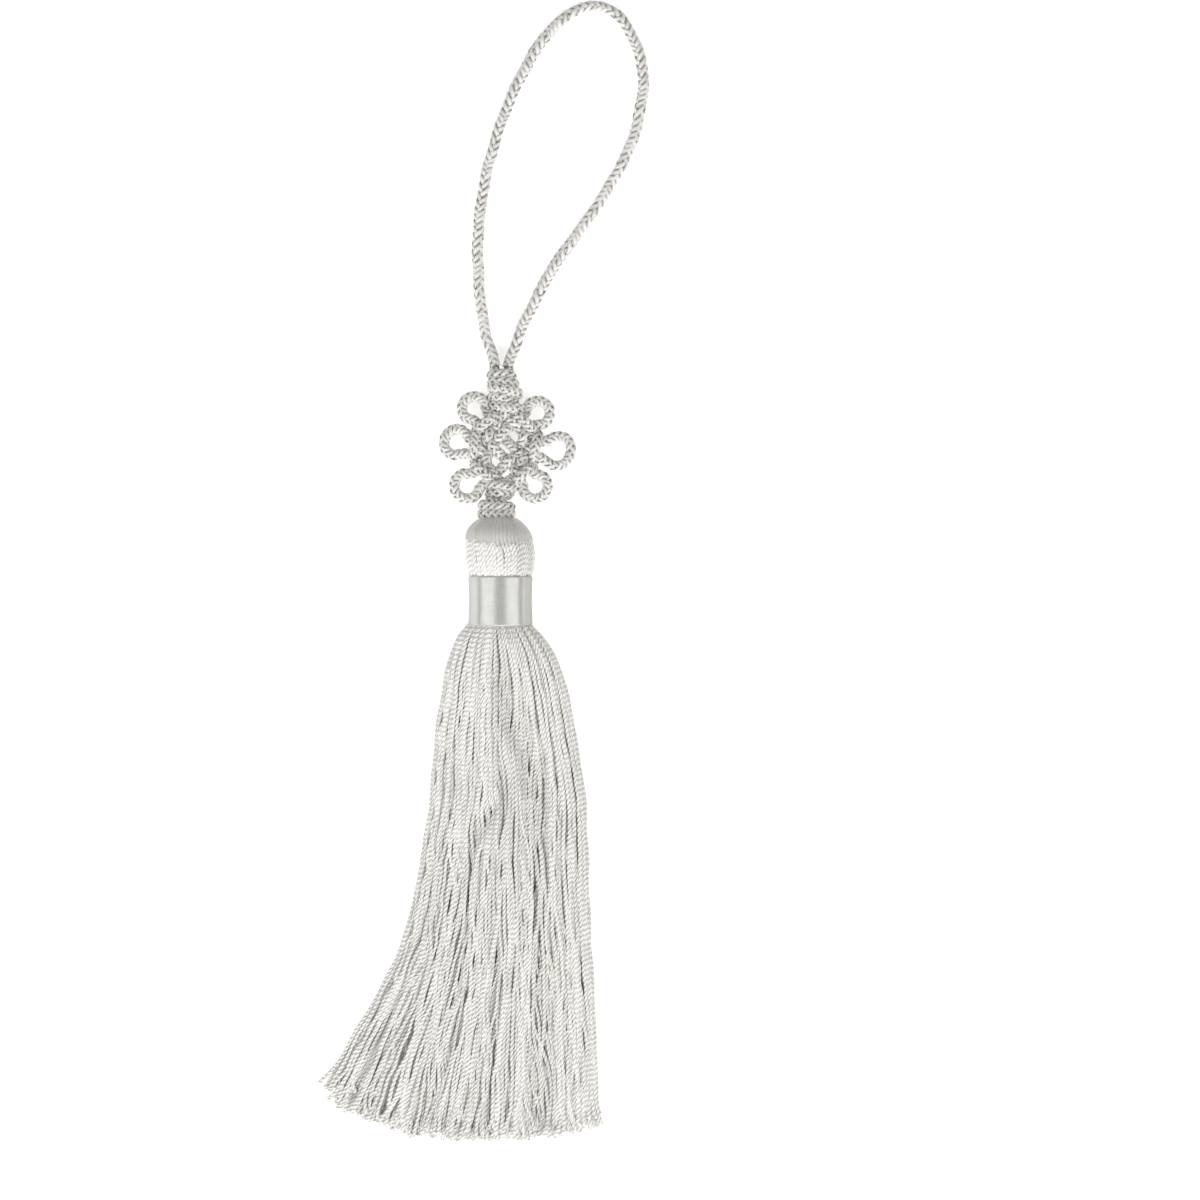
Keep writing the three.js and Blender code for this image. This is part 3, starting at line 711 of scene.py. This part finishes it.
def either_rim(middle, ends):
    return outer_ring(BAND_TOP)(middle, ends) or outer_ring(BAND_BOTTOM)(middle, ends)


for cut, draw in BAND_CUTS:
    select_where(band, outer_ring(cut), "EDGE")
    bpy.ops.transform.resize(value=(draw, 1, draw), center_override=(0, cut * MM, AXIS_HEIGHT * MM))
select_where(band, either_rim, "EDGE")
bpy.ops.mesh.bevel(offset=0.3 * MM, segments=4, profile=0.5)
bpy.ops.object.mode_set(mode="OBJECT")
bpy.ops.object.shade_smooth_by_angle(angle=math.radians(40))
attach(band, "root")
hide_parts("band")
print("band faces:", len(band.data.polygons))

# %% [markdown]
# Fine, tight silk reflects almost like satin: bright where a window lies, darker between. The turns
# of the winding run round the band, so the relief is rings along Y that are not quite even. The right
# side is painted duller and warmer than the rest, as painted shade.

# %% Band satin
WINDING_PITCH = 0.00021
SATIN_DARK = (0.55, 0.545, 0.525)
SATIN_LIGHT = (0.65, 0.65, 0.625)
SATIN_PAINTED_SHADE = (0.44, 0.425, 0.385)

satin = bpy.data.materials.new("band_satin")
satin.use_nodes = True
shader = satin.node_tree.nodes["Principled BSDF"]
shader.inputs["Roughness"].default_value = 0.24
shader.inputs["Metallic"].default_value = 0.45
shader.inputs["Specular IOR Level"].default_value = 0.25
shader.inputs["Specular Tint"].default_value = (0.5, 0.5, 0.48, 1)
place = node(satin, "ShaderNodeTexCoord").outputs["Object"]
axes = node(satin, "ShaderNodeSeparateXYZ", {0: place})
wander = node(satin, "ShaderNodeTexNoise", {"Vector": place, "Scale": 260.0, "Detail": 2.0}).outputs[0]
turns = maths(satin, "ADD", maths(satin, "MULTIPLY", axes.outputs[1], 2 * math.pi / WINDING_PITCH),
              maths(satin, "MULTIPLY", wander, 3.0))
rings = maths(satin, "SINE", turns)
stretched = node(satin, "ShaderNodeCombineXYZ", {
    0: axes.outputs[0], 1: maths(satin, "MULTIPLY", axes.outputs[1], 9.0), 2: axes.outputs[2]}).outputs[0]
slubs = node(satin, "ShaderNodeTexNoise", {"Vector": stretched, "Scale": 420.0, "Detail": 3.0}).outputs[0]
relief = maths(satin, "ADD", maths(satin, "MULTIPLY", rings, 0.3), slubs)
finish_silk(satin, shader, slubs, SATIN_DARK, SATIN_LIGHT, relief, 0.00002)
# Painted shade: the right side of the band is painted a darker, warmer grey.
band_right_painted_shade = node(satin, "ShaderNodeMapRange", {
    "Value": axes.outputs[0], "From Min": 0.0046, "From Max": 0.0054, "To Max": 0.82}).outputs[0]
lit = shader.inputs["Base Color"].links[0].from_socket
painted_shade_mix = node(satin, "ShaderNodeMix", {0: band_right_painted_shade, 6: lit, 7: (*SATIN_PAINTED_SHADE, 1)}, data_type="RGBA")
satin.node_tree.links.new(painted_shade_mix.outputs[2], shader.inputs["Base Color"])
band.data.materials.append(satin)
print("band satin, nodes:", len(satin.node_tree.nodes))

# %% [markdown]
# ## The skirt
# More than five hundred threads leave the band, close together, and fan out to a flat, ragged hem. The
# skirt is described by its sections: how wide it is, how high it lies off the table and how round it
# is. Each thread keeps its own place in every section, so threads that are hidden near the band come
# to the surface further down, where there is room. They wander a little, gather in locks with dark
# gaps between, and some stray across the rest.

# %% Sections of the skirt
# y, left, right, base, lift at the sides, crown, and how high the sides are as a part of the crown
SKIRT_SECTIONS = np.array([
    (-12.4, -5.6, 5.6, 1.4, 5.6, 12.6, 0.556),
    (-14.0, -7.0, 6.9, 0.5, 6.5, 13.4, 0.52),
    (-15.6, -8.5, 8.6, 0.4, 6.3, 13.9, 0.50),
    (-20.0, -10.4, 11.6, 0.1, 4.9, 13.9, 0.44),
    (-26.3, -12.0, 14.0, 0.0, 3.4, 12.7, 0.38),
    (-32.6, -13.0, 15.4, 0.0, 2.1, 11.2, 0.32),
    (-40.0, -14.0, 16.6, 0.0, 1.0, 9.7, 0.27),
    (-48.3, -14.6, 17.9, 0.0, 0.6, 8.8, 0.25),
    (-60.9, -16.4, 18.6, 0.0, 0.2, 7.9, 0.23),
    (-70.4, -18.1, 18.9, 0.0, 0.0, 7.4, 0.22),
    (-80.0, -20.8, 19.3, 0.0, 0.0, 6.7, 0.23),
    (-89.0, -24.9, 19.8, 0.0, 0.0, 6.1, 0.24),
])
HEM_SECTION = (0.0, 0.0, 4.9, 0.28)
HEM_LINE = [
    (-37.0, -109.6, 0), (-32.3, -115.2, 0), (-25.0, -118.2, 0), (-18.7, -120.2, 0), (-8.8, -121.0, 0),
    (0.6, -121.0, 0), (10.5, -120.5, 0), (17.9, -118.7, 0), (20.8, -117.4, 0),
]


def place_in_section(share, rise, base, lift, crown, edge, radius):
    """Where across (-1 to 1) and how high a thread lies, so that all have equal room."""
    across = np.linspace(-1, 1, 201)
    arch = np.sqrt(1 - across ** 2)
    bottom, top = base + lift * (1 - arch), crown * (edge + (1 - edge) * arch)
    room = np.cumsum(np.maximum(top - bottom, 0.2))
    room = (room - room[0]) / (room[-1] - room[0])
    u = np.interp(share, room, across)
    low, high = np.interp(u, across, bottom) + radius, np.interp(u, across, top) - radius
    return u, low + np.maximum(high - low, 0) * rise


# %% [markdown]
# On the way down, the left edge swings out while the right half hangs straight, so the shares of the
# width shift to the right: lean says how much. Half-way down, the threads part along two slanting
# valleys that lie in soft shade, and shorter ones cut in from the hem.

# %% Leaning and parting
LEAN = {-70.4: 0.10, -80.0: 0.20, -89.0: 0.30, "hem": 0.58}


def shifted(share, y):
    return share + LEAN.get(y, 0.0) * share * (1 - share)


PARTING = 2.2

# heights, the valley's places across, how deep it is there, and how broad it is
VALLEYS = [
    ((-75, -60, -50, -41, -34, -24, -17), (6.6, 7.0, 7.5, 6.0, 3.4, 0.9, 0.2),
     (0, 0.26, 0.4, 0.42, 0.36, 0.2, 0), 2.2),
    ((-84, -66, -58, -53, -48, -42, -36), (-10, -8.4, -6.3, -3.2, -0.7, 0.9, 1.6),
     (0, 0.26, 0.32, 0.3, 0.2, 0.1, 0), 2.5),
    ((-121, -112, -98, -84, -72), (-17, -14.5, -11, -8.5, -8), (0.3, 0.45, 0.38, 0.2, 0), 1.8),
    ((-121, -110, -96, -80, -66), (7.5, 8.2, 9.0, 9.4, 9.2), (0.4, 0.48, 0.36, 0.2, 0), 1.7),
]


def parted(line):
    """Lowers the threads into the valleys, and parts them there."""
    y = line[:, 1]
    for heights, places, depths, breadth in VALLEYS:
        away = line[:, 0] - np.interp(y, heights, places)
        depth = np.interp(y, heights, depths)
        line[:, 2] *= 1 - depth * np.exp(-(away / breadth) ** 2)
        line[:, 0] += PARTING * depth * np.tanh(away / 1.1) * np.exp(-(away / 4.5) ** 2)


print("valleys:", len(VALLEYS))

# %% [markdown]
# A thread is told by three numbers: its share of the way across, how far up the pile it lies, and how
# far it sways to one side on its way down. From these its route follows, section by section, and at
# the hem it ends a little short of the line or past it, as cut ends do.

# %% The route of a thread
SKIRT_RADIUS = 0.41
hem, hem_along = smooth_line(HEM_LINE, 0.5)
hem_share = hem_along / hem_along[-1]


def thread_route(share, rise, sway, past_the_hem):
    points = []
    for y, left, right, base, lift, crown, edge in SKIRT_SECTIONS:
        here = min(1, max(0, share + sway * min(1.0, max(0.0, (-14 - y) / 60))))
        u, z = place_in_section(shifted(here, y), rise, base, lift, crown, edge, SKIRT_RADIUS)
        points.append((left + (right - left) * (1 + u) / 2, y, z))
    here = min(1, max(0, share + sway))
    u, z = place_in_section(shifted(here, "hem"), rise, *HEM_SECTION, SKIRT_RADIUS)
    end = np.array([np.interp((1 + u) / 2, hem_share, hem[:, axis]) for axis in range(3)]) + (0, 0, z)
    start = np.array(points[-1])
    heading = (end - start) / np.linalg.norm(end - start)
    end += heading * past_the_hem
    return points + [tuple(0.5 * (start + end)), tuple(end)]


print("length of the hem in mm:", round(float(hem_along[-1]), 1))

# %% [markdown]
# The shares are spread by adding the same odd step again and again and keeping what is after the
# point, which fills the fringe evenly and yet in no visible order. Only threads near the top of the
# pile are seen, so only they get their full twist, and the rest are plain and have few rings.

# %% Skirt threads
SKIRT_THREADS = 560
SHARE_STEP, RISE_STEP = 0.7548776662, 0.5698402910
SEEN_ABOVE = 0.71
LOWEST = 0.42
rng = np.random.default_rng(5)
locks = [(9, 0.22, rng.random()), (16, 0.18, rng.random()), (29, 0.14, rng.random())]  # count, size, start

groups = [[], [], [], []]
for k in range(SKIRT_THREADS):
    share = (0.5 + SHARE_STEP * k + 0.012 * rng.normal()) % 1
    rise = (0.5 + RISE_STEP * k + 0.02 * rng.normal()) % 1
    stray = rng.random() < 0.07 and rise > 0.5
    rise = 0.97 if stray else rise
    sway = rng.normal(0, 0.08 if stray else 0.02) * 4 * share * (1 - share)
    points = thread_route(share, rise, sway, np.clip(rng.normal(-0.5, 0.8), -2.4, 0.6))

    line, along = smooth_line(points, 2.5)
    loose = np.clip((along - 2) / 55, 0, 1)
    gather = sum(size * math.sin(2 * math.pi * (count * share + phase)) for count, size, phase in locks)
    inside = min(1, 12 * share, 12 * (1 - share))
    line[:, 0] += loose * inside * (gather * (0.5 + 1.3 * loose ** 2) + waves(along, rng, 3, 20, 60, 0.42))
    line[:, 0] += np.clip((along - 2) / 12, 0, 1) * waves(along, rng, 3, 5, 14, 0.08)
    line[:, 2] += loose * waves(along, rng, 2, 9, 40, 0.16)
    parted(line)
    last = np.clip(1 - (along[-1] - along) / 7, 0, 1) ** 2
    line += last[:, None] * rng.normal(0, (0.8, 0.2, 0.5))
    line[:, 2] = np.maximum(line[:, 2], LOWEST)
    shown = rise > SEEN_ABOVE or share < 0.03 or share > 0.97
    thread = plied_thread(line, SKIRT_RADIUS * rng.uniform(0.86, 1.06), 0.38 if shown else 2.4, rng.random(),
                          sides=5, swell=0.16 if shown else 0, end_flare=0.25)
    groups[min(3, int(4 * share))].append(thread)
for number, threads in enumerate(groups, 1):
    lock = tube_mesh(f"skirt_threads_{number}", threads, yarn, "tassel_skein")

# %% [markdown]
# ## Table and light
# The tassel lies on a plain white table. Two softboxes stand left and right of it and make the two
# bright stripes down the band. A third, beyond the fringe, lights the skirt and the lower half of the
# head, and leaves the top of the dome in shade, which the grey painted on the dome deepens.

# %% Table
bpy.ops.mesh.primitive_plane_add(size=3.0, location=(0, 0, 0))
table = bpy.context.object
table.name = "table"
paper = bpy.data.materials.new("table_white")
paper.use_nodes = True
shader = paper.node_tree.nodes["Principled BSDF"]
shader.inputs["Base Color"].default_value = (0.93, 0.93, 0.93, 1)
shader.inputs["Roughness"].default_value = 0.9
shader.inputs["Emission Color"].default_value = (1, 1, 1, 1)
shader.inputs["Emission Strength"].default_value = 0.45
table.data.materials.append(paper)

# %% Light
world = bpy.data.worlds.new("studio")
bpy.context.scene.world = world
world.use_nodes = True
world.node_tree.nodes["Background"].inputs["Color"].default_value = (1, 1, 1, 1)
world.node_tree.nodes["Background"].inputs["Strength"].default_value = 0.28
AIMED_AT = Vector((0.0, -0.03, 0.0))


def softbox(name, place, size, brightness):
    """A rectangle of even light that faces the tassel. Size is along the table, then up."""
    bpy.ops.object.light_add(type="AREA", location=place)
    light = bpy.context.object
    light.name = name
    light.data.shape = "RECTANGLE"
    light.data.size, light.data.size_y = size
    light.data.energy = brightness * math.pi * size[0] * size[1]
    light.rotation_euler = (AIMED_AT - Vector(place)).to_track_quat("-Z", "Y").to_euler()
    print(f"{name}: {light.data.energy:.2f} W")


softbox("left_window", (-0.44, -0.04, 0.43), (0.26, 0.62), 2.8)
softbox("right_window", (0.44, -0.04, 0.45), (0.26, 0.58), 2.8)
softbox("front_window", (0.02, -0.70, 0.50), (0.7, 0.45), 4.9)
